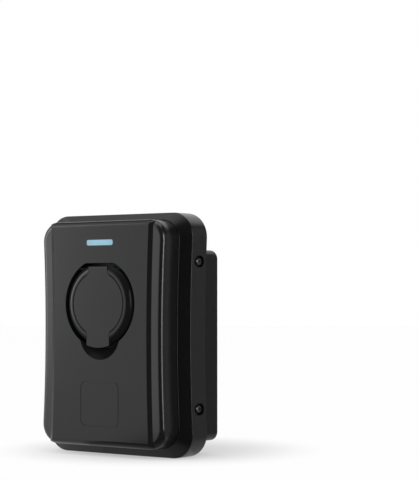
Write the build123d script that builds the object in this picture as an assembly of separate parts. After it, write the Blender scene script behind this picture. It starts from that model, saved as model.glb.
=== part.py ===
from build123d import *
import math
import os

# Wall charging box with a flap-covered charging socket.
# +Z is up, the front faces -Y and the wall is the plane Y = 0.
# Depths are measured forwards from the wall, heights from the middle of the wall fixing.

# Overall form
box_width = 182.6
box_height = 235.0
box_corner = 23.5
waist = 3.6
wall = 2.8
fit = 0.4

# Rear box against the wall
back_depth = 38.0
back_side_inset = 16.3
back_top_inset = 35.0
back_bottom_inset = 13.0
back_corner = 9.0
flange_thickness = 3.4
gasket_section = 1.8
gasket_bite = 2.0

# Fixing to the wall
fixing_inset_x = 13.0
fixing_inset_z = 25.5
fixing_hole_radius = 2.75
fixing_boss_radius = 6.0
fixing_boss_height = 3.0

# Housing skirt and the sloped ledge that leads up to the fascia
skirt_depth = 23.0
skirt_edge_round = 0.8
ledge_rise = 4.5
ledge_land = 1.0
ledge_ring = 20.0

# Screws through the sides of the skirt
side_screw_drop = 47.0
side_screw_setback = 13.8
side_recess_radius = 5.6
side_recess_run = 4.0
side_recess_depth = 3.4
side_head_radius = 3.7
side_head_height = 2.3
side_shank_radius = 2.0
side_shank_length = 16.0
side_pad_inset = 6.0
side_pad_width = 14.0
side_lug_length = 12.0

# Fascia: block with rounded edges, and the raised panel that runs from its top to its bottom
fascia_side_step = 13.2
fascia_end_step = 8.5
fascia_corner = 19.0
fascia_rise = 1.3
fascia_depth = 25.5
fascia_edge_round = 5.8
shoulder_width = 17.0
bevel_width = 4.2
bevel_depth = 2.2

# Screws that hold the fascia to the housing
fascia_boss_radius = 4.0
fascia_boss_inset = 5.0
fascia_boss_drop = 21.0
fascia_screw_radius = 1.5
fascia_screw_length = 14.0
fascia_head_radius = 3.0
fascia_head_height = 2.0

# Flap opening, its collar and the finger scoop under it
led_to_socket = 59.2
opening_radius = 43.2
opening_flat = 39.4
collar_wall = 2.2
collar_length = 13.0
scoop_reach = 11.2
scoop_radius = 25.0
scoop_dish_radius = 40.0

# Status light
led_drop = 21.1
led_width = 32.4
led_height = 5.4
led_corner = 1.9
led_flange = 1.8
led_flange_thickness = 1.4
led_board_gap = 4.0
led_board_thickness = 1.6
led_board_width = 52.0
led_board_height = 12.0
led_post_radius = 2.6
led_screw_radius = 1.1
led_screw_length = 4.0
led_screw_head_radius = 2.0
led_screw_head_height = 1.4
led_chip_size = 2.8
led_chip_height = 1.0
led_chip_count = 4

# Bare badge plate under the flap
badge_place_share = 0.491
badge_width = 47.2
badge_height_share = 0.511
badge_corner = 6.0
badge_thickness = 1.0
badge_gap = 0.5

# Flap
flap_gap = 3.0
flap_proud = 2.6
flap_thickness = 7.0
flap_top_round = 1.5
flap_disc_radius = 31.1
flap_top_tab = 24.1
flap_bottom_tab = 28.8
flap_lip_gap = 0.8
flap_line_width = 0.5
flap_line_depth = 0.4
flap_line_round = 5.0
flap_flat_margin = 2.0
flap_drop = 5.0
hinge_set = 2.1
hinge_drop = 2.5
pin_radius = 0.9
pin_clearance = 0.05
pin_bite = 2.4
spring_wire = 0.25
spring_whole_turns = 5
spring_leg_slope = 41.0
spring_pitch = 0.9
spring_pocket_width = 8.4
spring_pocket_radius = 1.7
spring_leg = 7.0
spring_slot_width = 2.2
spring_slot_drop = 4.6
seal_width = 3.2
seal_thickness = 2.2
seal_clearance = 0.3

# Charging socket
socket_flange_margin = 6.0
socket_flange_thickness = 3.0
socket_gasket_thickness = 1.0
plug_radius = 31.8
plug_flat = 23.5
plug_depth = 34.0
plug_groove = 5.4
sleeve_wall = 2.8
insert_set = 1.0
power_pitch = 16.5
power_row = -1.0
lower_pitch = 8.5
lower_row = -15.5
signal_pitch = 7.0
signal_row = 11.5
power_contact_radius = 4.6
power_bore_radius = 3.05
signal_contact_radius = 3.0
signal_bore_radius = 1.55
contact_set = 3.0
contact_bore_depth = 24.0
contact_tail = 10.0
tail_share = 0.62
socket_screw_radius = 1.5
socket_screw_length = 8.0
socket_screw_angle = 40.0
socket_boss_radius = 3.2

# Plug lock
lock_pin_radius = 2.5
lock_pin_clearance = 0.3
lock_depth_behind_collar = 13.0
lock_rest_set = 0.6
lock_gap = 2.6
lock_clearance = 1.3
lock_width = 18.0
lock_height = 26.0
lock_length = 22.0
lock_ear = 7.0
lock_ear_thickness = 3.0
lock_screw_radius = 1.2
lock_screw_length = 5.0

# Electronics
board_seat = 7.0
board_thickness = 1.6
board_inset_x = 22.0
board_inset_z = 11.5
board_post_radius = 4.0
board_post_inset = 6.0
board_screw_radius = 1.5
board_screw_length = 5.0
board_head_radius = 3.0
board_head_height = 2.0
relay_width = 22.0
relay_height = 30.0
relay_depth = 24.0
relay_gap = 29.0
relay_lift = 56.5
sensor_outer = 13.5
sensor_inner = 7.5
sensor_depth = 14.0
terminal_edge = 20.0
terminal_height = 16.0
terminal_depth = 18.0
terminal_lift = 26.5
terminal_ways = 6
terminal_step = 6.0
terminal_screw_radius = 2.6
terminal_screw_height = 1.2
supply_height = 26.0
supply_depth = 18.0
supply_edge = 9.0
supply_start = 8.0
supply_lift = 91.5
capacitor_share = 0.4
capacitor_depth = 18.0
capacitor_start = 8.5
capacitor_lift = 93.5
capacitor_count = 3
module_width = 46.0
module_height = 24.0
module_depth = 3.4
module_drop = 26.5

# Supply cable entry in the bottom of the rear box
entry_radius = 10.0
entry_depth = 20.0
grommet_lip = 3.0
grommet_lip_thickness = 2.4
grommet_dimple_radius = 6.0
grommet_skin = 1.6

# Widths and heights worked out from the sizes above
back_width = box_width - 2 * back_side_inset
back_top = box_height / 2 - back_top_inset
back_bottom = back_bottom_inset - box_height / 2
back_rise = (back_top + back_bottom) / 2
back_height = back_top - back_bottom
fixing_spacing_x = back_width - 2 * fixing_inset_x
fixing_spacing_z = back_height - 2 * fixing_inset_z
side_screw_height = box_height / 2 - side_screw_drop
fascia_width = box_width - 2 * fascia_side_step
fascia_height = box_height - 2 * fascia_end_step
fascia_bottom = fascia_rise - fascia_height / 2
fascia_boss_spacing = fascia_height / 2 - fascia_boss_drop
panel_width = fascia_width - 2 * shoulder_width
led_rise = fascia_rise + fascia_height / 2 - led_drop
socket_rise = led_rise - led_to_socket
lower_space = socket_rise - opening_radius - scoop_reach - fascia_bottom
badge_rise = fascia_bottom + badge_place_share * lower_space
badge_height = badge_height_share * lower_space
board_width = back_width - 2 * board_inset_x
board_height = back_height - 2 * board_inset_z
relay_row = back_bottom + relay_lift
terminal_width = board_width - 2 * terminal_edge
terminal_row = back_bottom + terminal_lift
supply_width = board_width / 2 - supply_edge - supply_start
supply_x = -supply_start - supply_width / 2
supply_row = back_bottom + supply_lift
capacitor_pitch = (board_width / 2 - capacitor_start) / capacitor_count
capacitor_radius = capacitor_share * capacitor_pitch
capacitor_x = capacitor_start + capacitor_pitch / 2
capacitor_row = back_bottom + capacitor_lift
module_row = back_top - module_drop

# Depths worked out from the sizes above
skirt_front = back_depth + skirt_depth
ledge_depth = skirt_front + ledge_rise
face_depth = ledge_depth + fascia_depth
shoulder_depth = face_depth - bevel_depth
collar_back = face_depth - collar_length
flap_front = face_depth + flap_proud
flap_back = flap_front - flap_thickness
hinge_depth = face_depth - hinge_set
hinge_rise = socket_rise + opening_flat - flap_gap - hinge_drop
seal_front = flap_back - seal_thickness
rim_front = seal_front - seal_clearance
flange_front = collar_back - socket_gasket_thickness
flange_back = flange_front - socket_flange_thickness
plug_floor = flange_front - plug_depth
socket_back = plug_floor - sleeve_wall
board_back = wall + board_seat
board_front = board_back + board_thickness
side_screw_depth = skirt_front - side_screw_setback

FRONT = (Align.CENTER, Align.CENTER, Align.MIN)
BEHIND = (Align.CENTER, Align.CENTER, Align.MAX)


def slab(outline, near, far):
    """Prism of an upright outline between two depths in front of the wall."""
    return extrude(Plane.XZ.offset(near) * outline, amount=far - near)


def rod(radius, x, z, near, far):
    """Round bar that points out from the wall."""
    return slab(Pos(x, z) * Circle(radius), near, far)


def cross_rod(radius, x_from, x_to, z, depth):
    """Round bar that runs from side to side."""
    return extrude(Plane.YZ.offset(x_from) * Pos(-depth, z) * Circle(radius), amount=x_to - x_from)


def upright_rod(radius, x, depth, z_from, z_to):
    """Round bar that stands upright."""
    return extrude(Plane.XY.offset(z_from) * Pos(x, -depth) * Circle(radius), amount=z_to - z_from)


def block(width, height, x, z, near, far):
    """Square block, placed by the middle of its front."""
    return slab(Pos(x, z) * Rectangle(width, height), near, far)


def waisted(width, height, radius, rise=0.0):
    """Rounded upright outline whose long sides curve in at mid height."""
    half_width = width / 2
    half_height = height / 2
    sides = Line((-half_width, half_height), (half_width, half_height))
    sides += ThreePointArc((half_width, half_height), (half_width - waist, 0), (half_width, -half_height))
    sides += Line((half_width, -half_height), (-half_width, -half_height))
    sides += ThreePointArc((-half_width, -half_height), (waist - half_width, 0), (-half_width, half_height))
    outline = make_face(sides)
    return Pos(0, rise) * fillet(outline.vertices(), radius)


def waisted_half_width(width, height, z):
    """Half the width of a waisted outline at a height above its middle."""
    bend = (height / 2) ** 2 / (2 * waist) + waist / 2
    return width / 2 - waist + bend - math.sqrt(bend**2 - z**2)


def flat_topped(radius, flat):
    """Disc about the socket's middle, cut off level above it."""
    cut = Pos(0, flat + radius) * Rectangle(4 * radius, 2 * radius)
    return Pos(0, socket_rise) * (Circle(radius) - cut)


def front_edges(solid):
    """Edges round the foremost face."""
    return solid.faces().sort_by(Axis.Y)[0].edges()


def pan_screw(head_radius, head_height, shank_radius, length):
    """Screw that points down, with the underside of its head at the origin."""
    head = Cylinder(head_radius, head_height, align=FRONT)
    head = chamfer(head.edges().sort_by(Axis.Z)[-1], head_height / 3)
    drive = Pos(0, 0, head_height / 2) * extrude(RegularPolygon(head_radius / 2, 6), amount=head_height)
    return head + Cylinder(shank_radius, length, align=BEHIND) - drive


def facing_back(screw, x, z, depth):
    """Turn a screw so that its head is behind the depth where it seats."""
    return Plane((x, -depth, z), z_dir=(0, 1, 0)).location * screw


def facing_front(screw, x, z, depth):
    """Turn a screw so that its head is in front of the depth where it seats."""
    return Plane((x, -depth, z), z_dir=(0, -1, 0)).location * screw


def mirrored_places(x, z):
    """Four places, one in each quarter."""
    return [(sx * x, sz * z) for sx in (-1, 1) for sz in (-1, 1)]


# Places that more than one piece takes its position from
fixing_places = mirrored_places(fixing_spacing_x / 2, fixing_spacing_z / 2)
side_places = [(side, sz * side_screw_height) for side in (-1, 1) for sz in (-1, 1)]
side_surface = waisted_half_width(box_width, box_height, side_screw_height)
side_seat = side_surface - side_recess_depth
pad_face = side_surface - side_pad_inset - wall
fascia_boss_x = fascia_width / 2 - waist - wall - fascia_boss_inset
fascia_boss_places = [
    (side * fascia_boss_x, fascia_rise + row * fascia_boss_spacing) for side in (-1, 1) for row in (-1, 0, 1)
]
board_places = [
    (x, back_rise + z)
    for x, z in mirrored_places(board_width / 2 - board_post_inset, board_height / 2 - board_post_inset)
]
socket_flange_radius = opening_radius + collar_wall + socket_flange_margin
socket_flange_flat = opening_flat + collar_wall + socket_flange_margin
socket_boss_reach = opening_radius + collar_wall + socket_screw_radius + fit
socket_boss_places = [
    (
        side * socket_boss_reach * math.cos(math.radians(socket_screw_angle)),
        socket_rise + level * socket_boss_reach * math.sin(math.radians(socket_screw_angle)),
    )
    for side in (-1, 1)
    for level in (-1, 1)
]
power_places = [(step * power_pitch, socket_rise + power_row) for step in (-1, 0, 1)]
power_places += [(side * lower_pitch, socket_rise + lower_row) for side in (-1, 1)]
signal_places = [(side * signal_pitch, socket_rise + signal_row) for side in (-1, 1)]
led_post_places = [(side * (led_board_width / 2 - led_post_radius), led_rise) for side in (-1, 1)]
led_board_front = face_depth - wall - led_board_gap
led_board_back = led_board_front - led_board_thickness
lock_depth = collar_back - lock_depth_behind_collar
lock_near_x = plug_radius + sleeve_wall + lock_gap
lock_middle = lock_near_x + lock_width / 2
lock_screw_places = [
    (lock_near_x + lock_ear, socket_rise + side * (lock_height + lock_ear) / 2) for side in (-1, 1)
]
pin_half_length = math.sqrt(opening_radius**2 - (hinge_rise - socket_rise) ** 2) + pin_bite


def make_fascia():
    """Hollow front cover: rounded waisted block, raised panel, flap collar and finger scoop."""
    outline = waisted(fascia_width, fascia_height, fascia_corner, fascia_rise)
    shell = slab(outline, ledge_depth, shoulder_depth)
    shell = fillet(front_edges(shell), fascia_edge_round)
    raised = slab(outline, ledge_depth, face_depth)
    raised = fillet(front_edges(raised), fascia_edge_round)
    tall = fascia_height + 2 * fascia_corner
    panel = slab(waisted(panel_width + 2 * bevel_width, tall, bevel_width, fascia_rise),
                 shoulder_depth - wall, face_depth)
    panel_face = panel.faces().sort_by(Axis.Y)[0]
    shell += raised & chamfer(panel_face.edges(), bevel_width, bevel_depth, reference=panel_face)

    inside_height = fascia_height - 2 * wall
    inside = waisted(fascia_width - 2 * wall, inside_height, fascia_corner - wall, fascia_rise)
    shell -= slab(inside, ledge_depth, shoulder_depth - wall)
    behind_panel = waisted(panel_width, tall, bevel_width, fascia_rise) & inside
    shell -= slab(behind_panel, ledge_depth, face_depth - wall)

    shell += slab(flat_topped(opening_radius + collar_wall, opening_flat + collar_wall),
                  collar_back, face_depth - wall)
    scoop_middle = socket_rise - opening_radius - scoop_reach + scoop_radius
    scoop = Pos(0, scoop_middle) * Circle(scoop_radius + collar_wall)
    shell += slab(scoop, collar_back, face_depth - wall)
    for x, z in socket_boss_places:
        shell += rod(socket_boss_radius, x, z, collar_back, face_depth - wall)
    shell -= slab(flat_topped(opening_radius, opening_flat), collar_back - wall, face_depth)
    dish_depth = face_depth + math.sqrt(scoop_dish_radius**2 - scoop_radius**2)
    shell -= Pos(0, -dish_depth, scoop_middle) * Sphere(scoop_dish_radius)
    for x, z in socket_boss_places:
        shell -= rod(socket_screw_radius, x, z, collar_back, flange_back + socket_screw_length)
    shell -= cross_rod(pin_radius, -pin_half_length, pin_half_length, hinge_rise, hinge_depth)

    for x, z in fascia_boss_places:
        shell += rod(fascia_boss_radius, x, z, ledge_depth, shoulder_depth - wall / 2)
        shell -= rod(fascia_screw_radius, x, z, ledge_depth, ledge_depth - wall + fascia_screw_length)
    for x, z in led_post_places:
        shell += rod(led_post_radius, x, z, led_board_front, face_depth - wall)
        shell -= rod(led_screw_radius, x, z, led_board_front, led_board_back + led_screw_length)
    slot = RectangleRounded(led_width, led_height, led_corner)
    shell -= slab(Pos(0, led_rise) * slot, face_depth - 2 * wall, face_depth)
    badge = Pos(0, badge_rise) * RectangleRounded(badge_width, badge_height, badge_corner)
    shell -= slab(badge, face_depth - badge_thickness, face_depth)
    return shell


def make_housing():
    """Skirt and sloped ledge with a wide window behind the fascia."""
    outline = waisted(box_width, box_height, box_corner)
    ledge_top = waisted(fascia_width + 2 * ledge_land, fascia_height + 2 * ledge_land,
                        fascia_corner + ledge_land, fascia_rise)
    shell = slab(outline, back_depth, skirt_front)
    slope_ends = [Plane.XZ.offset(skirt_front) * outline, Plane.XZ.offset(ledge_depth) * ledge_top]
    shell += loft(slope_ends, ruled=True)
    rim = [edge for edge in shell.edges() if abs(edge.center().Y + skirt_front) < fit]
    shell = fillet(rim, skirt_edge_round)

    inside = waisted(box_width - 2 * wall, box_height - 2 * wall, box_corner - wall)
    shell -= slab(inside, back_depth, skirt_front - wall)
    under_ledge = waisted(fascia_width, fascia_height, fascia_corner, fascia_rise)
    shell -= slab(under_ledge, back_depth, ledge_depth - wall)
    window = waisted(fascia_width - 2 * ledge_ring, fascia_height - 2 * ledge_ring,
                     fascia_corner, fascia_rise)
    shell -= slab(window, back_depth, ledge_depth)
    shell -= block(lock_width + 2 * lock_clearance, lock_height + 2 * lock_clearance,
                   lock_middle, socket_rise, back_depth, ledge_depth)
    for x, z in fascia_boss_places:
        shell -= rod(fascia_screw_radius, x, z, ledge_depth - wall, ledge_depth)

    pad_far = skirt_front - wall
    pad_near = back_depth + flange_thickness
    for side, z in side_places:
        middle = side * (pad_face + side_surface - wall / 2) / 2
        shell += block(side_surface - wall / 2 - pad_face, side_pad_width, middle, z, pad_near, pad_far)
    for side, z in side_places:
        recess_width = box_width / 2 - side_seat
        recess_front = side_screw_depth + side_recess_run
        shell -= cross_rod(side_recess_radius, side * side_seat, side * box_width / 2, z, side_screw_depth)
        shell -= cross_rod(side_recess_radius, side * side_seat, side * box_width / 2, z, recess_front)
        shell -= block(recess_width, 2 * side_recess_radius, side * (side_seat + recess_width / 2), z,
                       side_screw_depth, recess_front)
        shell -= cross_rod(side_shank_radius, side * pad_face, side * side_seat, z, side_screw_depth)
    return shell


def make_back_box():
    """Tub against the wall, with a flange inside the skirt and lugs for the side screws."""
    tub = RectangleRounded(back_width, back_height, back_corner)
    flange_front_depth = back_depth + flange_thickness
    shell = slab(Pos(0, back_rise) * tub, 0, flange_front_depth)
    edge = wall + fit
    flange = waisted(box_width - 2 * edge, box_height - 2 * edge, box_corner - edge)
    shell += slab(flange, back_depth, flange_front_depth)
    shell -= gasket_ring(edge + gasket_bite)
    lug_far = skirt_front - wall
    for side, z in side_places:
        middle = side * (pad_face - side_lug_length / 2)
        shell += block(side_lug_length, side_pad_width, middle, z, back_depth, lug_far)

    hollow = RectangleRounded(back_width - 2 * wall, back_height - 2 * wall, back_corner - wall)
    shell -= slab(Pos(0, back_rise) * hollow, wall, flange_front_depth)
    for side, z in side_places:
        inner = pad_face - side_shank_length
        shell -= cross_rod(side_shank_radius, side * inner, side * pad_face, z, side_screw_depth)
    for x, z in board_places:
        shell += rod(board_post_radius, x, z, wall / 2, board_back)
        shell -= rod(board_screw_radius, x, z, board_front - board_screw_length, board_back)
    for x, z in fixing_places:
        shell += rod(fixing_boss_radius, x, z, wall / 2, wall + fixing_boss_height)
        shell -= rod(fixing_hole_radius, x, z, 0, wall + fixing_boss_height)
    shell -= upright_rod(entry_radius, 0, entry_depth, back_bottom, back_bottom + wall)
    return shell


def gasket_ring(bite):
    """Rectangular ring between the skirt's inner wall and a groove in the flange's edge."""
    outer = waisted(box_width - 2 * wall, box_height - 2 * wall, box_corner - wall)
    inner = waisted(box_width - 2 * (wall + bite), box_height - 2 * (wall + bite), box_corner - wall - bite)
    near = back_depth + (flange_thickness - gasket_section) / 2
    return slab(outer - inner, near, near + gasket_section)


def make_side_screws():
    """Four pan screws through the skirt into the rear box's lugs."""
    screw = pan_screw(side_head_radius, side_head_height, side_shank_radius, side_shank_length)
    return [
        Plane((side * side_seat, -side_screw_depth, z), z_dir=(side, 0, 0)).location * screw
        for side, z in side_places
    ]


def make_fascia_screws():
    """Six screws from behind, through the ledge into the fascia's bosses."""
    screw = pan_screw(fascia_head_radius, fascia_head_height, fascia_screw_radius, fascia_screw_length)
    return [facing_back(screw, x, z, ledge_depth - wall) for x, z in fascia_boss_places]


def make_led_lens():
    """Light bar with a flange that seats behind the panel."""
    front = RectangleRounded(led_width, led_height, led_corner)
    bar = slab(Pos(0, led_rise) * front, face_depth - wall, face_depth)
    flange = RectangleRounded(led_width + 2 * led_flange, led_height + 2 * led_flange,
                              led_corner + led_flange)
    return bar + slab(Pos(0, led_rise) * flange, face_depth - wall - led_flange_thickness, face_depth - wall)


def make_led_board():
    """Small circuit board on two posts behind the light bar."""
    board = block(led_board_width, led_board_height, 0, led_rise, led_board_back, led_board_front)
    for x, z in led_post_places:
        board -= rod(led_screw_radius, x, z, led_board_back, led_board_front)
    return board


def make_led_chips():
    """Row of light chips on the light board."""
    step = led_width / led_chip_count
    start = -step * (led_chip_count - 1) / 2
    far = led_board_front + led_chip_height
    return [
        block(led_chip_size, led_chip_size, start + step * index, led_rise, led_board_front, far)
        for index in range(led_chip_count)
    ]


def make_led_screws():
    """Two screws that hold the light board to its posts."""
    screw = pan_screw(led_screw_head_radius, led_screw_head_height, led_screw_radius, led_screw_length)
    return [facing_back(screw, x, z, led_board_back) for x, z in led_post_places]


def make_badge_plate():
    """Bare plate let into the panel."""
    plate = RectangleRounded(badge_width - 2 * badge_gap, badge_height - 2 * badge_gap,
                             badge_corner - badge_gap)
    return slab(Pos(0, badge_rise) * plate, face_depth - badge_thickness, face_depth)


def flap_panel():
    """Outline of the flap's flat disc with its upper and lower tabs, about the socket's middle."""
    reach = 2 * opening_radius
    panel = Circle(flap_disc_radius)
    panel += Pos(0, reach / 2) * Rectangle(flap_top_tab, reach)
    panel += Pos(0, -reach / 2) * Rectangle(flap_bottom_tab, reach)
    inner = [corner for corner in panel.vertices() if corner.center().length < opening_radius]
    return fillet(inner, flap_line_round)


def make_socket_flap():
    """Hollow flap with an engraved disc and tabs, sides that round away and a level top with the hinge."""
    radius = opening_radius - flap_gap
    flat = opening_flat - flap_gap
    lip = Circle(opening_radius - flap_lip_gap) & Pos(0, -radius) * Rectangle(flap_bottom_tab, 2 * radius)
    flap = slab(flat_topped(radius, flat) + Pos(0, socket_rise) * lip, flap_back, flap_front)
    top_edge = flap.edges().filter_by(Axis.X).group_by(Axis.Z)[-1].sort_by(Axis.Y)[0]
    flap = fillet(top_edge, flap_top_round)
    hollow_step = sleeve_wall - seal_width - wall / 2
    hollow = flat_topped(plug_radius + hollow_step, plug_flat + hollow_step)
    flap -= slab(hollow, flap_back, flap_front - wall)

    flat_radius = flap_disc_radius + flap_flat_margin
    run = radius - flat_radius
    bend = (run**2 + flap_drop**2) / (2 * flap_drop)
    half_angle = math.asin(run / bend) / 2
    middle = (flat_radius + bend * math.sin(half_angle), flap_front - bend * (1 - math.cos(half_angle)))
    edge = ThreePointArc((flat_radius, flap_front), middle, (radius, flap_front - flap_drop))
    edge += Polyline((radius, flap_front - flap_drop), (radius + flap_gap, flap_front - flap_drop),
                     (radius + flap_gap, flap_front), (flat_radius, flap_front))
    axial = Plane((0, 0, socket_rise), x_dir=(1, 0, 0), z_dir=(0, 0, 1))
    sides = revolve(axial * mirror(make_face(edge), Plane.XZ), Axis((0, 0, socket_rise), (0, 1, 0)))
    tabs = Pos(0, socket_rise) * flap_panel()
    flap -= sides - slab(tabs, flap_back, flap_front)
    line = tabs - offset(tabs, -flap_line_width)
    flap -= slab(line, flap_front - flap_line_depth, flap_front)

    flap -= cross_rod(pin_radius + pin_clearance, -radius, radius, hinge_rise, hinge_depth)
    half_pocket = spring_pocket_width / 2
    flap -= cross_rod(spring_pocket_radius, -half_pocket, half_pocket, hinge_rise, hinge_depth)
    flap -= block(spring_pocket_width, 2 * spring_pocket_radius, 0, hinge_rise, flap_back, hinge_depth)
    flap_leg, turns, socket_leg = spring_lines()
    flap -= block(spring_slot_width, spring_slot_drop, (socket_leg @ 0).X, hinge_rise - spring_slot_drop / 2,
                  flap_back, hinge_depth + pin_radius)
    leg_hole = Plane(flap_leg @ 1, z_dir=flap_leg @ 0 - flap_leg @ 1) * Circle(spring_wire + pin_clearance)
    flap -= extrude(leg_hole, amount=spring_leg + fit)
    return flap


def make_flap_hinge_pin():
    """Steel pin held at both ends in the collar."""
    return cross_rod(pin_radius, -pin_half_length, pin_half_length, hinge_rise, hinge_depth)


def spring_lines():
    """Flap leg, coil and socket leg of the torsion spring, along the middle of its wire."""
    coil_radius = pin_radius + pin_clearance + spring_wire
    length = spring_pitch * (spring_whole_turns + (270 - spring_leg_slope) / 360)
    turns = Helix(pitch=spring_pitch, height=length, radius=coil_radius)
    flap_leg = Line(turns @ 0 - (turns % 0) * spring_leg, turns @ 0)
    sleeve_top = socket_rise + plug_flat + sleeve_wall
    drop = hinge_rise + (turns @ 1).Y - sleeve_top - spring_wire
    socket_leg = Line(turns @ 1, turns @ 1 - (turns % 1) * (drop / (turns % 1).Y))
    hinge = Plane((-length / 2, -hinge_depth, hinge_rise), x_dir=(0, 1, 0), z_dir=(1, 0, 0))
    return [hinge.location * line for line in (flap_leg, turns, socket_leg)]


def make_flap_spring():
    """Torsion spring on the pin, one leg in the flap and one on the socket's level top."""
    lines = spring_lines()
    section = Plane(lines[0] @ 0, z_dir=lines[0] % 0) * Circle(spring_wire)
    return sweep(section, Wire(lines))


def make_flap_seal():
    """Flat-topped ring on the back of the flap that closes on the socket's rim."""
    outer = flat_topped(plug_radius + sleeve_wall, plug_flat + sleeve_wall)
    inner = flat_topped(plug_radius + sleeve_wall - seal_width, plug_flat + sleeve_wall - seal_width)
    return slab(outer - inner, seal_front, flap_back)


def make_socket_body():
    """Charging socket: flange, raised rim, sleeve and the insert that holds the contacts."""
    sleeve = flat_topped(plug_radius + sleeve_wall, plug_flat + sleeve_wall)
    body = slab(flat_topped(socket_flange_radius, socket_flange_flat), flange_back, flange_front)
    body += slab(sleeve, socket_back, rim_front)
    plug = flat_topped(plug_radius, plug_flat)
    body -= slab(plug, plug_floor, rim_front)
    insert = flat_topped(plug_radius - plug_groove, plug_flat - plug_groove)
    body += slab(insert, plug_floor, flange_front - insert_set)
    for x, z in power_places:
        body -= rod(power_contact_radius, x, z, socket_back, flange_front)
    for x, z in signal_places:
        body -= rod(signal_contact_radius, x, z, socket_back, flange_front)
    body -= cross_rod(lock_pin_radius + lock_pin_clearance, plug_radius - sleeve_wall,
                      plug_radius + 2 * sleeve_wall, socket_rise, lock_depth)
    for x, z in socket_boss_places:
        body -= rod(socket_screw_radius, x, z, flange_back, flange_front)
    for x, z in lock_screw_places:
        body -= rod(lock_screw_radius, x, z, flange_back, flange_front)
    return body


def contact(places, radius, bore):
    """Tubular contacts with a solid tail behind the socket."""
    front = flange_front - insert_set - contact_set
    made = []
    for x, z in places:
        tube = rod(radius, x, z, socket_back, front)
        tube -= rod(bore, x, z, front - contact_bore_depth, front)
        made.append(tube + rod(radius * tail_share, x, z, socket_back - contact_tail, socket_back))
    return made


def make_socket_gasket():
    """Flat seal between the collar and the socket's flange."""
    ring = flat_topped(opening_radius + collar_wall, opening_flat + collar_wall)
    return slab(ring - flat_topped(opening_radius, opening_flat), flange_front, collar_back)


def make_socket_screws():
    """Four screws that hold the socket to the fascia."""
    screw = pan_screw(fascia_head_radius, fascia_head_height, socket_screw_radius, socket_screw_length)
    return [facing_back(screw, x, z, flange_back) for x, z in socket_boss_places]


def make_lock_actuator():
    """Plug lock drive beside the socket, with two ears against the flange."""
    body = block(lock_width, lock_height, lock_middle, socket_rise, flange_back - lock_length, flange_back)
    ears_height = lock_height + 2 * lock_ear
    body += block(2 * lock_ear, ears_height, lock_near_x + lock_ear, socket_rise,
                  flange_back - lock_ear_thickness, flange_back)
    body -= cross_rod(lock_pin_radius + lock_pin_clearance, lock_near_x, lock_middle, socket_rise, lock_depth)
    for x, z in lock_screw_places:
        body -= rod(lock_screw_radius, x, z, flange_back - lock_ear_thickness, flange_back)
    return body


def make_lock_pin():
    """Round bolt that slides into the plug groove."""
    tip = plug_radius + lock_rest_set
    tail = lock_middle - lock_pin_clearance
    return cross_rod(lock_pin_radius, tip, tail, socket_rise, lock_depth)


def make_lock_screws():
    """Two screws that hold the lock drive to the flange."""
    screw = pan_screw(2 * lock_screw_radius, lock_screw_radius, lock_screw_radius, lock_screw_length)
    return [facing_back(screw, x, z, flange_back - lock_ear_thickness) for x, z in lock_screw_places]


def make_main_board():
    """Main circuit board on posts in the rear box."""
    board = block(board_width, board_height, 0, back_rise, board_back, board_front)
    for x, z in board_places:
        board -= rod(board_screw_radius, x, z, board_back, board_front)
    return board


def make_board_screws():
    """Four screws that hold the main board to its posts."""
    screw = pan_screw(board_head_radius, board_head_height, board_screw_radius, board_screw_length)
    return [facing_front(screw, x, z, board_front) for x, z in board_places]


def make_relays():
    """Two mains relays, one each side of the current sensor."""
    far = board_front + relay_depth
    offset = (relay_gap + relay_width) / 2
    return [
        block(relay_width, relay_height, side * offset, relay_row, board_front, far) for side in (-1, 1)
    ]


def make_current_sensor():
    """Ring core that the mains leads pass through."""
    ring = Pos(0, relay_row) * (Circle(sensor_outer) - Circle(sensor_inner))
    return slab(ring, board_front, board_front + sensor_depth)


def terminal_centres():
    """Places of the terminal block's screws across its width."""
    step = terminal_width / terminal_ways
    return [step * (index - (terminal_ways - 1) / 2) for index in range(terminal_ways)]


def make_terminal_block():
    """Stepped mains terminal block with a wire entry under each screw."""
    far = board_front + terminal_depth
    body = block(terminal_width, terminal_height, 0, terminal_row, board_front, far)
    step_z = terminal_row - terminal_height / 2 + terminal_step / 2
    body -= block(terminal_width, terminal_step, 0, step_z, far - terminal_step, far)
    for x in terminal_centres():
        low = terminal_row - terminal_height / 2
        body -= upright_rod(terminal_screw_radius, x, board_front + terminal_step, low, low + terminal_step)
    return body


def make_terminal_screws():
    """One clamp screw for each way of the terminal block."""
    far = board_front + terminal_depth
    z = terminal_row + terminal_step / 2
    return [rod(terminal_screw_radius, x, z, far, far + terminal_screw_height) for x in terminal_centres()]


def make_power_supply():
    """Potted supply block."""
    far = board_front + supply_depth
    body = block(supply_width, supply_height, supply_x, supply_row, board_front, far)
    return chamfer(front_edges(body), wall / 2)


def make_capacitors():
    """Row of round capacitors."""
    far = board_front + capacitor_depth
    return [
        rod(capacitor_radius, capacitor_x + capacitor_pitch * index, capacitor_row, board_front, far)
        for index in range(capacitor_count)
    ]


def make_control_module():
    """Shielded control and radio module."""
    body = block(module_width, module_height, 0, module_row, board_front, board_front + module_depth)
    return chamfer(front_edges(body), module_depth / 4)


def make_entry_grommet():
    """Rubber membrane in the supply cable's hole."""
    inner_top = back_bottom + wall
    body = upright_rod(entry_radius, 0, entry_depth, back_bottom, inner_top)
    lip = entry_radius + grommet_lip
    body += upright_rod(lip, 0, entry_depth, back_bottom - grommet_lip_thickness, back_bottom)
    body += upright_rod(lip, 0, entry_depth, inner_top, inner_top + grommet_lip_thickness)
    body -= upright_rod(grommet_dimple_radius, 0, entry_depth, back_bottom - grommet_lip_thickness,
                        inner_top + grommet_lip_thickness - grommet_skin)
    return body


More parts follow.
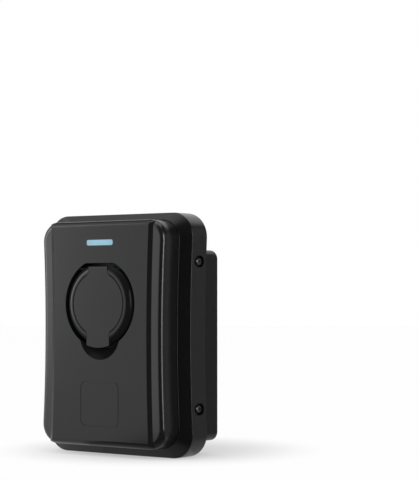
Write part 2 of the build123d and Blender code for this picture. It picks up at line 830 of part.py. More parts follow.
pieces = {
    "fascia": make_fascia(),
    "housing": make_housing(),
    "back_box": make_back_box(),
    "housing_gasket": gasket_ring(fit + gasket_bite),
    "side_screws": make_side_screws(),
    "fascia_screws": make_fascia_screws(),
    "led_lens": make_led_lens(),
    "led_board": make_led_board(),
    "led_chips": make_led_chips(),
    "led_screws": make_led_screws(),
    "badge_plate": make_badge_plate(),
    "socket_flap": make_socket_flap(),
    "flap_hinge_pin": make_flap_hinge_pin(),
    "flap_spring": make_flap_spring(),
    "flap_seal": make_flap_seal(),
    "socket_body": make_socket_body(),
    "power_contacts": contact(power_places, power_contact_radius, power_bore_radius),
    "signal_contacts": contact(signal_places, signal_contact_radius, signal_bore_radius),
    "socket_gasket": make_socket_gasket(),
    "socket_screws": make_socket_screws(),
    "lock_actuator": make_lock_actuator(),
    "lock_pin": make_lock_pin(),
    "lock_screws": make_lock_screws(),
    "main_board": make_main_board(),
    "board_screws": make_board_screws(),
    "relays": make_relays(),
    "current_sensor": make_current_sensor(),
    "terminal_block": make_terminal_block(),
    "terminal_screws": make_terminal_screws(),
    "power_supply": make_power_supply(),
    "capacitors": make_capacitors(),
    "control_module": make_control_module(),
    "entry_grommet": make_entry_grommet(),
}

os.makedirs("parts", exist_ok=True)
for name, piece in pieces.items():
    solids = Compound(children=piece) if isinstance(piece, list) else piece
    export_step(solids, f"parts/{name}.step")
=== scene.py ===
"""Finishes, screw heads, beads and studio for a wall charging box with a flap-covered socket."""

import math

import bmesh
import bpy
from mathutils import Matrix, Vector


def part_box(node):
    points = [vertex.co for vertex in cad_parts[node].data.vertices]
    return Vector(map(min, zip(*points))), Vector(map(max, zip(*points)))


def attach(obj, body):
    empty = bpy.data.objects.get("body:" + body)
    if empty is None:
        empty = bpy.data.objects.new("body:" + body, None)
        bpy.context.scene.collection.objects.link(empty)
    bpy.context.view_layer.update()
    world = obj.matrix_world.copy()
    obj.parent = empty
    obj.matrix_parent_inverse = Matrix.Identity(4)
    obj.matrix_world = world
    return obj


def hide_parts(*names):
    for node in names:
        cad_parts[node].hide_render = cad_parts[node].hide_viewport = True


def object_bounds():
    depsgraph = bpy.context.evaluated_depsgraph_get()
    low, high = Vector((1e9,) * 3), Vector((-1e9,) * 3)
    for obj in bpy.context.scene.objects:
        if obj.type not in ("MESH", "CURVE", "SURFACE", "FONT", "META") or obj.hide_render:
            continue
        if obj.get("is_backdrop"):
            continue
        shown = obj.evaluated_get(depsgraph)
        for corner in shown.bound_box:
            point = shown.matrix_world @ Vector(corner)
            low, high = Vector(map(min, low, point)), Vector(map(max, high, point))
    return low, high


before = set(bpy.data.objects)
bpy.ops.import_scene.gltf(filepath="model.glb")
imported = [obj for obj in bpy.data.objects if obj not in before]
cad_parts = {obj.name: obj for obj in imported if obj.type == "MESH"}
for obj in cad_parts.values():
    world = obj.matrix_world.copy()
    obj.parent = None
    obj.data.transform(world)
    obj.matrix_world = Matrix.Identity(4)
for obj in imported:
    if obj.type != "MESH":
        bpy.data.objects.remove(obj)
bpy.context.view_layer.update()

bl_info = {
    "name": "Wall Charging Box",
    "version": (1, 0, 0),
    "blender": (4, 5, 0),
    "location": "View3D > Sidebar > Charging Box",
    "description": "Finishes a wall charging box in moulded plastic, rubber and plated metal",
    "category": "Object",
}

SETTINGS = "charging_box"
MM = 0.001

# Finishes: where one gloss turns into another on the front, and how far recesses lose shine as
# painted shade
STEP_BLEND = 0.15 * MM
FACE_MARGIN = 0.2 * MM
RECESS_SHADE_REACH = 58.0 * MM
# Finishes: the middle range of a noise, and the ranges of shade and dullness it is mapped to
NOISE_LOW, NOISE_HIGH = 0.3, 0.7
CLOUD_SHADE = (0.95, 1.05)
GRAIN_SHADE = (-0.03, 0.03)
MOULD_DULL = (-0.02, 0.02)
PATCH_SCALE = 260.0
PATCH_SHADE = (0.86, 1.06)
PATCH_DULL = (-0.04, 0.07)
SCRATCH_SIZE = 0.4 * MM
SCRATCH_DULL = (-0.03, 0.05)
MILK_SCALE = 420.0
MILK_SHADE = (0.94, 1.05)
# Finishes: relief, skin, light bar and rubber
RELIEF_DEPTH = 0.02 * MM
PLASTIC_RELIEF = 0.12
METAL_RELIEF = 0.15
SKIN_IOR = 1.6
BAR_EVEN_SHARE = 0.35
BAR_END_GLOW = 0.72
BAR_ROUGHNESS = 0.28
RUBBER = {"roughness": 0.62, "gloss": 0.2, "grain": 0.7 * MM}
# Kinds of a node group's sockets that aren't plain numbers
SOCKET_KINDS = {"Vector": "NodeSocketVector", "Color": "NodeSocketColor"}

# Shapes
SMOOTH_ANGLE = math.radians(38)
SCREW_SEGMENTS = 48
SIDE_SCREW_LENGTH = 16.0 * MM
DRIVE_LOBES = 6
DRIVE_CHAMFER = 0.1
DOME_STEPS = (0.4, 0.7, 0.9, 1.0)
TIP_SHARE = 0.3
SEAL_SEGMENTS = 96
# How the housing's front rim is told from its other edges
WELD = 0.001 * MM
RIM_SLOPES = (math.radians(10), math.radians(60))
# Half-round section as shares of a bead's width and rise
BEAD_SECTION = (
    (0.0, 0.0), (0.02, 0.35), (0.16, 0.78), (0.36, 0.97), (0.5, 1.0),
    (0.64, 0.97), (0.84, 0.78), (0.98, 0.35), (1.0, 0.0),
)

# Studio
FLOOR_RADIUS = 6.0
FLOOR_SEGMENTS = 64
FLOOR_ROUGHNESS = 0.9
FADE_START, FADE_END = 0.125, 0.21
FADE_NEAR, FADE_FAR = 0.4, 0.97
SENSOR_HEIGHT = 36.0
CLIP_START = 0.01
LAMP_TARGET = Vector((0.0, -0.045, 0.0))
# Name, place, width, height and power
LAMPS = (
    ("Key lamp", (-1.58, -1.22, 0.5), 0.66, 1.4, 7.7),
    ("Top lamp", (0.1, -0.4, 1.6), 1.4, 1.0, 3.0),
    ("Strip lamp", (1.53, -1.03, 0.25), 0.36, 1.3, 10.0),
)
CARD_STEPS = 8
# Rows of a card as shares of its section; it fades out towards the first and last
CARD_ROWS = (0.0, 0.02, 0.5, 0.85, 1.0)
CARD_DISTANCE = 2.6
# Name, first and last bearing in degrees, lowest and highest edge, tone
UPRIGHT_CARDS = (
    ("Left card", -152.0, -68.0, -0.9, 1.8, 0.8),
    ("Front card", -20.0, 50.0, -0.9, 1.8, 0.06),
    ("Side card", 46.0, 172.0, -0.9, 1.8, 0.4),
    ("Upper card", -20.0, 172.0, 1.1, 6.5, 0.12),
    ("High card", -145.0, -72.0, 2.2, 6.5, 0.12),
)
FLOOR_CARD_NEAR, FLOOR_CARD_FAR = 0.06, 1.3 * CARD_DISTANCE
# Name, first and last bearing in degrees, tone
FLOOR_CARDS = (("Front floor card", -20.0, 62.0, 0.05), ("Side floor card", 46.0, 172.0, 0.35))


def colour_property(label, words, value):
    """A colour that a user may change."""
    return bpy.props.FloatVectorProperty(
        name=label, description=words, default=value, size=3, subtype="COLOR", min=0.0, max=1.0
    )


def share_property(label, words, value):
    """A share from 0 to 1."""
    return bpy.props.FloatProperty(
        name=label, description=words, default=value, min=0.0, max=1.0, subtype="FACTOR"
    )


def length_property(label, words, value):
    """A length in metres."""
    return bpy.props.FloatProperty(
        name=label, description=words, default=value, min=0.0, unit="LENGTH", precision=4
    )


class CaseFinish(bpy.types.PropertyGroup):
    """Moulded plastic of the case and flap."""

    front: colour_property("Front", "Colour of the front cover and flap", (0.0082, 0.0084, 0.0086))
    skirt: colour_property(
        "Skirt", "Colour of the skirt behind the front cover", (0.0040, 0.0042, 0.0042)
    )
    rear: colour_property(
        "Rear box", "Colour of the box against the wall", (0.0062, 0.0065, 0.0064)
    )
    badge: colour_property(
        "Badge plate", "Colour of the bare plate under the flap", (0.0086, 0.0088, 0.0090)
    )
    roughness: share_property("Roughness", "Roughness of the satin moulding", 0.34)
    skin: share_property("Skin roughness", "Roughness of the moulding's thin shiny skin", 0.2)
    gloss: share_property("Gloss", "How strongly the satin moulding shines", 0.94)
    panel_gloss: share_property("Panel gloss", "How strongly the raised panel and flap shine", 0.62)
    # Less shine on the flap's rim and the finger scoop is painted shade for these recesses
    recess_shade_gloss: share_property(
        "Recess gloss", "How strongly the flap's rim and finger scoop shine", 0.12
    )
    rear_gloss: share_property("Rear gloss", "How strongly the rear box shines", 0.6)
    # The dull line round the flap's disc is painted shade for its groove: its shine is taken off
    line_radius: length_property("Line", "Radius of the line round the flap's disc", 31.1 * MM)
    line_width: length_property(
        "Line width", "Width of the dull line round the flap's disc", 1.1 * MM
    )
    tab_half: length_property(
        "Tab", "Half the width of the flap's wider tab, where the line ends", 14.4 * MM
    )
    bead_width: length_property(
        "Bead width", "Width of the bead on the ledge round the front cover", 0.9 * MM
    )
    bead_rise: length_property(
        "Bead rise", "Height of the bead on the ledge round the front cover", 0.45 * MM
    )
    grain: length_property("Grain", "Size of the moulded grain", 0.45 * MM)
    cloud: length_property("Cloudiness", "Size of the soft patches in the finish", 35.0 * MM)


class LightFinish(bpy.types.PropertyGroup):
    """Status light."""

    glow: colour_property("Glow", "Colour that the light bar gives off", (0.250, 0.530, 0.680))
    body: colour_property("Body", "Colour of the milky bar itself", (0.20, 0.32, 0.38))
    strength: bpy.props.FloatProperty(
        name="Strength", description="How brightly the light bar glows", default=0.42,
        min=0.0, max=10.0
    )


class SocketFinish(bpy.types.PropertyGroup):
    """Charging socket, seals and contacts."""

    plastic: colour_property("Socket", "Colour of the socket body", (0.022, 0.023, 0.025))
    rubber: colour_property("Rubber", "Colour of the seals and grommet", (0.018, 0.018, 0.019))
    contacts: colour_property("Contacts", "Colour of the plated contacts", (0.83, 0.80, 0.72))
    lock: colour_property("Lock drive", "Colour of the plug lock's drive", (0.045, 0.046, 0.050))
    seal_width: length_property("Seal", "Width of the bead round the back of the flap", 3.2 * MM)


class MetalFinish(bpy.types.PropertyGroup):
    """Screws, pin and spring."""

    steel: colour_property("Steel", "Colour of the plated screws inside", (0.52, 0.53, 0.54))
    dark_steel: colour_property("Dark steel", "Colour of the side screws", (0.17, 0.175, 0.18))
    black_steel: colour_property(
        "Black steel", "Colour of the flap's pin and spring", (0.020, 0.020, 0.021)
    )
    roughness: share_property("Roughness", "Roughness of the plated screws", 0.34)
    head_radius: length_property("Head", "Radius of a side screw's head", 3.7 * MM)
    head_height: length_property("Head height", "Height of a side screw's head", 2.3 * MM)
    dome: length_property("Dome", "Height of the rounded top of a side screw's head", 0.9 * MM)
    drive_radius: length_property("Drive", "Middle radius of the six-lobe drive", 1.7 * MM)
    lobe: length_property(
        "Lobe", "How far the drive's lobes reach past its middle radius", 0.28 * MM
    )
    drive_depth: length_property("Drive depth", "Depth of the six-lobe drive", 1.3 * MM)
    shank_radius: length_property("Shank", "Radius of a side screw's shank", 2.0 * MM)


class ElectronicsFinish(bpy.types.PropertyGroup):
    """Boards and the parts on them."""

    board: colour_property("Board", "Colour of the circuit boards", (0.018, 0.150, 0.065))
    relay: colour_property("Relays", "Colour of the relays and supply block", (0.050, 0.050, 0.055))
    terminal: colour_property("Terminals", "Colour of the terminal block", (0.100, 0.300, 0.160))
    core: colour_property("Sensor", "Colour of the current sensor", (0.040, 0.100, 0.300))
    can: colour_property("Capacitors", "Colour of the capacitor cans", (0.550, 0.560, 0.580))
    shield: colour_property("Shield", "Colour of the module's metal cover", (0.620, 0.630, 0.640))
    chip: colour_property("Chips", "Colour of the light chips", (0.800, 0.780, 0.600))


class StudioSettings(bpy.types.PropertyGroup):
    """Camera, floor and room light."""

    camera_place: bpy.props.FloatVectorProperty(
        name="Camera", description="Where the camera stands", default=(0.9894, -1.2791, 0.0407),
        subtype="TRANSLATION"
    )
    camera_turn: bpy.props.FloatProperty(
        name="Turn", description="How far the view turns from straight on",
        default=math.radians(35.86), subtype="ANGLE"
    )
    camera_tilt: bpy.props.FloatProperty(
        name="Tilt", description="How far the view looks up", default=math.radians(1.89),
        subtype="ANGLE"
    )
    lens: bpy.props.FloatProperty(
        name="Lens", description="Focal length in millimetres", default=119.62, min=1.0,
        subtype="DISTANCE_CAMERA"
    )
    floor: colour_property("Floor", "Colour of the pale floor", (0.86, 0.86, 0.86))
    ambient: bpy.props.FloatProperty(
        name="Room light", description="Strength of the even light from all round", default=0.6,
        min=0.0
    )


def settings():
    """The add-on's settings on the scene."""
    return getattr(bpy.context.scene, SETTINGS)


def feed(tree, value, target):
    """Join an output socket to an input socket, or put a plain value in it."""
    if isinstance(value, bpy.types.NodeSocket):
        tree.links.new(value, target)
    else:
        target.default_value = value


def shader_group(name, inputs, outputs):
    """Empty shader node group with named sockets, and its two end nodes."""
    group = bpy.data.node_groups.new(name, "ShaderNodeTree")
    for labels, way in ((inputs, "INPUT"), (outputs, "OUTPUT")):
        for label in labels:
            kind = SOCKET_KINDS.get(label, "NodeSocketFloat")
            group.interface.new_socket(label, in_out=way, socket_type=kind)
    return group, group.nodes.new("NodeGroupInput"), group.nodes.new("NodeGroupOutput")


def noise(tree, vector, scale, detail):
    """Noise over a vector."""
    node = tree.nodes.new("ShaderNodeTexNoise")
    node.inputs["Detail"].default_value = detail
    feed(tree, vector, node.inputs["Vector"])
    feed(tree, scale, node.inputs["Scale"])
    return node.outputs["Fac"]


def math_node(tree, operation, first, second=0.0):
    """Arithmetic on sockets or numbers."""
    node = tree.nodes.new("ShaderNodeMath")
    node.operation = operation
    feed(tree, first, node.inputs[0])
    feed(tree, second, node.inputs[1])
    return node.outputs["Value"]


def ranged(tree, value, start, stop, low, high, kind="LINEAR"):
    """Go from low to high while a value goes from start to stop."""
    node = tree.nodes.new("ShaderNodeMapRange")
    node.interpolation_type = kind
    ends = {"Value": value, "From Min": start, "From Max": stop, "To Min": low, "To Max": high}
    for label, end in ends.items():
        feed(tree, end, node.inputs[label])
    return node.outputs["Result"]


def spread(tree, value, ends):
    """Map a noise value about its middle to a range."""
    return ranged(tree, value, NOISE_LOW, NOISE_HIGH, *ends)


def between(tree, value, place, low, high):
    """Step from low to high, with a narrow blend, where a value passes a place."""
    return ranged(tree, value, place - STEP_BLEND, place + STEP_BLEND, low, high)


def tinted(tree, colour, amount):
    """A colour times a number that changes over the surface."""
    node = tree.nodes.new("ShaderNodeVectorMath")
    node.operation = "SCALE"
    feed(tree, colour, node.inputs[0])
    feed(tree, amount, node.inputs["Scale"])
    return node.outputs["Vector"]


def length_of(tree, vector):
    """Length of a vector."""
    node = tree.nodes.new("ShaderNodeVectorMath")
    node.operation = "LENGTH"
    feed(tree, vector, node.inputs[0])
    return node.outputs["Value"]


def sized_noise(group, ends, label, detail):
    """Noise over a group's vector, as coarse as one of the group's sizes."""
    scale = math_node(group, "DIVIDE", 1.0, ends.outputs[label])
    return noise(group, ends.outputs["Vector"], scale, detail)


def two_spreads(group, first, first_ends, second, second_ends):
    """Sum of two noise values, each mapped to a range of its own."""
    one, other = spread(group, first, first_ends), spread(group, second, second_ends)
    return math_node(group, "ADD", one, other)


def make_moulded_group():
    """Satin moulding: soft cloudy patches, fine eroded grain and an uneven shine."""
    group, ends, out = shader_group(
        "Moulded surface",
        inputs=("Vector", "Color", "Roughness", "Gloss", "Grain", "Cloud"),
        outputs=("Color", "Roughness", "Gloss", "Height"),
    )
    cloud = sized_noise(group, ends, "Cloud", detail=4.0)
    grain = sized_noise(group, ends, "Grain", detail=1.0)
    shade = two_spreads(group, cloud, CLOUD_SHADE, grain, GRAIN_SHADE)
    feed(group, tinted(group, ends.outputs["Color"], shade), out.inputs["Color"])
    dull = two_spreads(group, cloud, MOULD_DULL, grain, MOULD_DULL)
    feed(group, math_node(group, "ADD", ends.outputs["Roughness"], dull), out.inputs["Roughness"])
    shine = math_node(group, "SUBTRACT", 1.0, dull)
    feed(group, math_node(group, "MULTIPLY", ends.outputs["Gloss"], shine), out.inputs["Gloss"])
    feed(group, grain, out.inputs["Height"])
    return group


def make_plated_group():
    """Plated metal: fine scratches and dull patches."""
    group, ends, out = shader_group(
        "Plated metal",
        inputs=("Vector", "Color", "Roughness", "Scratch"),
        outputs=("Color", "Roughness", "Height"),
    )
    scratch = sized_noise(group, ends, "Scratch", detail=3.0)
    patch = noise(group, ends.outputs["Vector"], PATCH_SCALE, detail=3.0)
    shade = spread(group, patch, PATCH_SHADE)
    feed(group, tinted(group, ends.outputs["Color"], shade), out.inputs["Color"])
    dull = two_spreads(group, patch, PATCH_DULL, scratch, SCRATCH_DULL)
    feed(group, math_node(group, "ADD", ends.outputs["Roughness"], dull), out.inputs["Roughness"])
    feed(group, scratch, out.inputs["Height"])
    return group


def shared_group(name, maker):
    """A node group, made the first time it is asked for."""
    return bpy.data.node_groups.get(name) or maker()


def blank_material(name):
    """New material with its node tree and principled shader."""
    material = bpy.data.materials.new(name)
    material.use_nodes = True
    return material, material.node_tree, material.node_tree.nodes["Principled BSDF"]


def surface_material(name, group, colour, values, relief):
    """Material with a shared group's colour, roughness and relief; its shader and group node."""
    material, tree, shader = blank_material(name)
    place = tree.nodes.new("ShaderNodeTexCoord")
    surface = tree.nodes.new("ShaderNodeGroup")
    surface.node_tree = group
    feed(tree, place.outputs["Object"], surface.inputs["Vector"])
    surface.inputs["Color"].default_value = (*colour, 1.0)
    for label, value in values.items():
        surface.inputs[label].default_value = value
    bump = tree.nodes.new("ShaderNodeBump")
    bump.inputs["Strength"].default_value = relief
    bump.inputs["Distance"].default_value = RELIEF_DEPTH
    feed(tree, surface.outputs["Height"], bump.inputs["Height"])
    feed(tree, surface.outputs["Color"], shader.inputs["Base Color"])
    feed(tree, surface.outputs["Roughness"], shader.inputs["Roughness"])
    feed(tree, bump.outputs["Normal"], shader.inputs["Normal"])
    return material, shader, surface


def plastic(name, colour, roughness, gloss=0.5, grain=None, skin=None):
    """Moulded plastic under a thin skin that shines."""
    case = settings().case
    group = shared_group("Moulded surface", make_moulded_group)
    values = {
        "Roughness": roughness, "Gloss": gloss, "Grain": grain or case.grain, "Cloud": case.cloud
    }
    material, shader, surface = surface_material(name, group, colour, values, PLASTIC_RELIEF)
    feed(material.node_tree, surface.outputs["Gloss"], shader.inputs["Coat Weight"])
    shader.inputs["Specular IOR Level"].default_value = 0.0
    shader.inputs["Coat Roughness"].default_value = skin or roughness
    shader.inputs["Coat IOR"].default_value = SKIN_IOR
    return material


def plated(name, colour, roughness):
    """Plated metal."""
    group = shared_group("Plated metal", make_plated_group)
    values = {"Roughness": roughness, "Scratch": SCRATCH_SIZE}
    material, shader, _ = surface_material(name, group, colour, values, METAL_RELIEF)
    shader.inputs["Metallic"].default_value = 1.0
    return material


def front_plastic(name):
    """Plastic of the front, with its tree, its group's gloss socket and its place sockets."""
    case = settings().case
    material = plastic(name, case.front, case.roughness, skin=case.skin)
    tree = material.node_tree
    split = tree.nodes.new("ShaderNodeSeparateXYZ")
    feed(tree, tree.nodes["Texture Coordinate"].outputs["Object"], split.inputs["Vector"])
    return material, tree, tree.nodes["Group"].inputs["Gloss"], split.outputs


def socket_height():
    """Height of the socket's axis, from the seal that runs round it."""
    low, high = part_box("flap_seal")
    return low.z + high.x


def from_axis(tree):
    """Distance from the socket's axis."""
    along = tree.nodes.new("ShaderNodeMapping")
    along.inputs["Location"].default_value = (0.0, 0.0, -socket_height())
    along.inputs["Scale"].default_value = (1.0, 0.0, 1.0)
    feed(tree, tree.nodes["Texture Coordinate"].outputs["Object"], along.inputs["Vector"])
    return length_of(tree, along.outputs["Vector"])


def light_bar_material():
    """Milky bar that glows a little less towards its ends."""
    light = settings().light
    material, tree, shader = blank_material("Light bar")
    place = tree.nodes.new("ShaderNodeTexCoord")
    split = tree.nodes.new("ShaderNodeSeparateXYZ")
    feed(tree, place.outputs["Object"], split.inputs["Vector"])
    low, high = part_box("led_lens")
    half = (high.x - low.x) / 2
    across = math_node(tree, "ABSOLUTE", split.outputs["X"])
    ends = ranged(tree, across, BAR_EVEN_SHARE * half, half, 1.0, BAR_END_GLOW, "SMOOTHSTEP")
    milk = spread(tree, noise(tree, place.outputs["Object"], MILK_SCALE, detail=3.0), MILK_SHADE)
    glow = tinted(tree, light.glow, math_node(tree, "MULTIPLY", ends, milk))
    feed(tree, glow, shader.inputs["Emission Color"])
    shader.inputs["Base Color"].default_value = (*light.body, 1.0)
    shader.inputs["Emission Strength"].default_value = light.strength
    shader.inputs["Roughness"].default_value = BAR_ROUGHNESS
    return material


def dress(material, *nodes):
    """Give CAD nodes one material."""
    for node in nodes:
        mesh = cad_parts[node].data
        mesh.materials.clear()
        mesh.materials.append(material)


def new_object(builder, name, material):
    """Turn a bmesh into an object in the scene."""
    mesh = bpy.data.meshes.new(name)
    builder.to_mesh(mesh)
    builder.free()
    mesh.materials.append(material)
    made = bpy.data.objects.new(name, mesh)
    bpy.context.scene.collection.objects.link(made)
    return made


def finish_piece(builder, name, material, body):
    """Turn a bmesh into a smooth piece that rides on a body."""
    piece = new_object(builder, name, material)
    piece.data.shade_smooth()
    piece.data.set_sharp_from_angle(angle=SMOOTH_ANGLE)
    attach(piece, body)
    return piece


def joined_loops(loops, ring=False):
    """Skin bridged between loops; a ring's last loop joins its first, and other ends are capped."""
    skin = bmesh.new()
    rows = []
    for loop in loops:
        corners = [skin.verts.new(point) for point in loop]
        rows.append([skin.edges.new(pair) for pair in zip(corners, corners[1:] + corners[:1])])
    pairs = list(zip(rows, rows[1:]))
    if ring:
        pairs.append((rows[-1], rows[0]))
    else:
        bmesh.ops.edgeloop_fill(skin, edges=rows[0])
        bmesh.ops.edgeloop_fill(skin, edges=rows[-1])
    for near, far in pairs:
        bmesh.ops.bridge_loops(skin, edges=near + far)
    bmesh.ops.recalc_face_normals(skin, faces=skin.faces)
    return skin


def lobed_loop(radius, lobe, height):
    """Loop about the X axis, with lobes where lobe isn't 0."""
    points = []
    for index in range(SCREW_SEGMENTS):
        turn = 2 * math.pi * index / SCREW_SEGMENTS
        reach = radius + lobe * math.cos(DRIVE_LOBES * turn)
        points.append(Vector((height, reach * math.cos(turn), reach * math.sin(turn))))
    return points


def screw_loops():
    """Loops of a domed side screw with a lobed drive, from the drive's floor to the shank's tip."""
    metal = settings().metal
    top = metal.head_height
    crown = metal.drive_radius + 2 * metal.lobe
    loops = [
        lobed_loop(metal.drive_radius, metal.lobe, top - metal.drive_depth),
        lobed_loop(metal.drive_radius, metal.lobe, top - DRIVE_CHAMFER * metal.dome),
        lobed_loop(crown, 0.0, top),
    ]
    for share in DOME_STEPS:
        reach = crown + (metal.head_radius - crown) * share
        loops.append(lobed_loop(reach, 0.0, top - metal.dome * share**2))
    loops += [
        lobed_loop(metal.head_radius, 0.0, 0.0),
        lobed_loop(metal.shank_radius, 0.0, 0.0),
        lobed_loop(metal.shank_radius, 0.0, -SIDE_SCREW_LENGTH + metal.shank_radius),
        lobed_loop(TIP_SHARE * metal.shank_radius, 0.0, -SIDE_SCREW_LENGTH),
    ]
    return loops


def flat_topped_loop(middle, radius, flat, depth):
    """Upright loop of a disc cut off level above its middle."""
    corner = math.acos(flat / radius)
    points = []
    for index in range(SEAL_SEGMENTS + 1):
        turn = corner + (2 * math.pi - 2 * corner) * index / SEAL_SEGMENTS
        points.append(Vector((radius * math.sin(turn), -depth, middle + radius * math.cos(turn))))
    return points


def rim_loop(node):
    """Corners, in order, of the edge where a CAD node's flat front turns into a slope."""
    solid = bmesh.new()
    solid.from_mesh(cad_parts[node].data)
    bmesh.ops.remove_doubles(solid, verts=solid.verts, dist=WELD)
    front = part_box(node)[0].y + WELD
    low, high = RIM_SLOPES
    rim = {
        edge for edge in solid.edges
        if max(corner.co.y for corner in edge.verts) < front and low < edge.calc_face_angle() < high
    }
    edge = max(rim, key=lambda side: side.verts[0].co.x)
    first, corner = edge.verts
    points = [first.co.copy()]
    while corner is not first:
        points.append(corner.co.copy())
        edge = next(side for side in corner.link_edges if side in rim and side is not edge)
        corner = edge.other_vert(corner)
    solid.free()
    return points


def inset_loop(points, inset, rise):
    """Upright loop moved in towards the Y axis and forwards."""
    moved = []
    for before, point, after in zip(points[-1:] + points[:-1], points, points[1:] + points[:1]):
        along = (after - before).normalized()
        inward = along.cross(Vector((0.0, 1.0, 0.0)))
        if inward.dot(point) > 0:
            inward.negate()
        moved.append(point + inset * inward - Vector((0.0, rise, 0.0)))
    return moved


class BoxOperator(bpy.types.Operator):
    """Common settings of the add-on's operators."""

    bl_options = {"REGISTER", "UNDO"}


class CHARGINGBOX_OT_case(BoxOperator):
    """Finish the front cover, skirt and rear box, and lay the bead round the front cover"""

    bl_idname = "charging_box.case"
    bl_label = "Case"

    def execute(self, context):
        case = settings().case
        cover, tree, gloss, place = front_plastic("Front cover plastic")
        panel = between(tree, place["Y"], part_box("badge_plate")[1].y, case.panel_gloss, case.gloss)
        # Recesses round the socket lose most of their shine: painted shade
        recess = between(tree, from_axis(tree), RECESS_SHADE_REACH, case.recess_shade_gloss, 1.0)
        behind = between(tree, place["Y"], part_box("fascia")[0].y + FACE_MARGIN, 1.0, recess)
        feed(tree, math_node(tree, "MULTIPLY", panel, behind), gloss)
        dress(cover, "fascia")
        for name, colour, shine, node in (
            ("Skirt plastic", case.skirt, case.gloss, "housing"),
            ("Rear box plastic", case.rear, case.rear_gloss, "back_box"),
            ("Badge plate plastic", case.badge, case.panel_gloss, "badge_plate"),
        ):
            dress(plastic(name, colour, case.roughness, shine, skin=case.skin), node)

        rim = rim_loop("housing")
        loops = [
            inset_loop(rim, inset * case.bead_width, share * case.bead_rise)
            for inset, share in BEAD_SECTION
        ]
        lip = plastic("Rim bead plastic", case.skirt, case.roughness, case.gloss, skin=case.skin)
        finish_piece(joined_loops(loops, ring=True), "rim_bead", lip, "case")
        return {"FINISHED"}


class CHARGINGBOX_OT_flap(BoxOperator):
    """Finish the flap and make the bead of its rubber seal"""

    bl_idname = "charging_box.flap"
    bl_label = "Flap"

    def execute(self, context):
        case = settings().case
        lid, tree, gloss, place = front_plastic("Flap plastic")
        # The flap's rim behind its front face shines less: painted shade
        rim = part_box("socket_flap")[0].y + FACE_MARGIN
        shine = between(tree, place["Y"], rim, case.panel_gloss, case.recess_shade_gloss)
        # A thin line round the disc, outside the tabs, loses all shine as painted groove shade
        off_line = math_node(tree, "SUBTRACT", from_axis(tree), case.line_radius)
        line = between(tree, math_node(tree, "ABSOLUTE", off_line), case.line_width / 2, 0.0, 1.0)
        line = between(tree, math_node(tree, "ABSOLUTE", place["X"]), case.tab_half, 1.0, line)
        feed(tree, math_node(tree, "MULTIPLY", shine, line), gloss)
        dress(lid, "socket_flap")

        socket = settings().socket
        low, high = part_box("flap_seal")
        middle = socket_height()
        loops = []
        for inset, share in BEAD_SECTION:
            reach = inset * socket.seal_width
            depth = -low.y - share * (high.y - low.y)
            loops.append(flat_topped_loop(middle, high.x - reach, high.z - middle - reach, depth))
        rubber = plastic("Bead rubber", socket.rubber, **RUBBER)
        skin = joined_loops(loops, ring=True)
        bead = finish_piece(skin, "flap_seal_bead", rubber, "flap")
        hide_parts("flap_seal")
        return {"FINISHED"}


class CHARGINGBOX_OT_light(BoxOperator):
    """Light the status bar and finish the chips behind it"""

    bl_idname = "charging_box.light"
    bl_label = "Status light"

    def execute(self, context):
        dress(light_bar_material(), "led_lens")
        dress(plastic("Light chips", settings().electronics.chip, roughness=0.25), "led_chips")
        return {"FINISHED"}


class CHARGINGBOX_OT_socket(BoxOperator):
    """Finish the charging socket, its contacts, seals and plug lock"""

    bl_idname = "charging_box.socket"
    bl_label = "Charging socket"

    def execute(self, context):
        socket = settings().socket
        dress(plastic("Socket plastic", socket.plastic, roughness=0.42), "socket_body")
        dress(plastic("Lock drive plastic", socket.lock, roughness=0.45), "lock_actuator")
        rubber = plastic("Seal rubber", socket.rubber, **RUBBER)
        dress(rubber, "socket_gasket", "housing_gasket", "entry_grommet")
        contacts = plated("Plated contacts", socket.contacts, roughness=0.22)
        dress(contacts, "power_contacts", "signal_contacts")
        return {"FINISHED"}


class CHARGINGBOX_OT_hardware(BoxOperator):
    """Make the six-lobe side screws and finish the pins, spring and inner screws"""

    bl_idname = "charging_box.hardware"
    bl_label = "Hardware"

    def execute(self, context):
        metal = settings().metal
        dress(plated("Plated steel", metal.steel, metal.roughness), "fascia_screws", "led_screws",
              "socket_screws", "lock_screws", "board_screws", "terminal_screws", "lock_pin")
        dark = plated("Dark steel", metal.dark_steel, metal.roughness)
        black = plated("Black steel", metal.black_steel, roughness=0.5)
        dress(black, "flap_hinge_pin", "flap_spring")

        low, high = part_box("side_screws")
        seat = high.x - metal.head_height
        depth = (low.y + high.y) / 2
        row = high.z - metal.head_radius
        for side, turn, word in ((1, 0.0, "right"), (-1, math.pi, "left")):
            for level, height in (("upper", row), ("lower", -row)):
                screw = joined_loops(screw_loops())
                place = Matrix.Translation((side * seat, depth, height))
                turned = place @ Matrix.Rotation(turn, 4, "Z")
                bmesh.ops.transform(screw, matrix=turned, verts=screw.verts)
                piece = finish_piece(screw, f"side_screw_{word}_{level}", dark, "case")
                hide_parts("side_screws")
        return {"FINISHED"}


class CHARGINGBOX_OT_electronics(BoxOperator):
    """Finish the circuit boards and the parts on them"""

    bl_idname = "charging_box.electronics"
    bl_label = "Electronics"

    def execute(self, context):
        board = settings().electronics
        mask = plastic("Solder mask", board.board, roughness=0.30, gloss=0.8, grain=0.9 * MM)
        dress(mask, "main_board", "led_board")
        dress(plastic("Relay plastic", board.relay, roughness=0.45), "relays", "power_supply")
        dress(plastic("Terminal plastic", board.terminal, roughness=0.45), "terminal_block")
        dress(plastic("Sensor plastic", board.core, roughness=0.40), "current_sensor")
        dress(plated("Capacitor cans", board.can, roughness=0.30), "capacitors")
        dress(plated("Module shield", board.shield, roughness=0.30), "control_module")
        return {"FINISHED"}


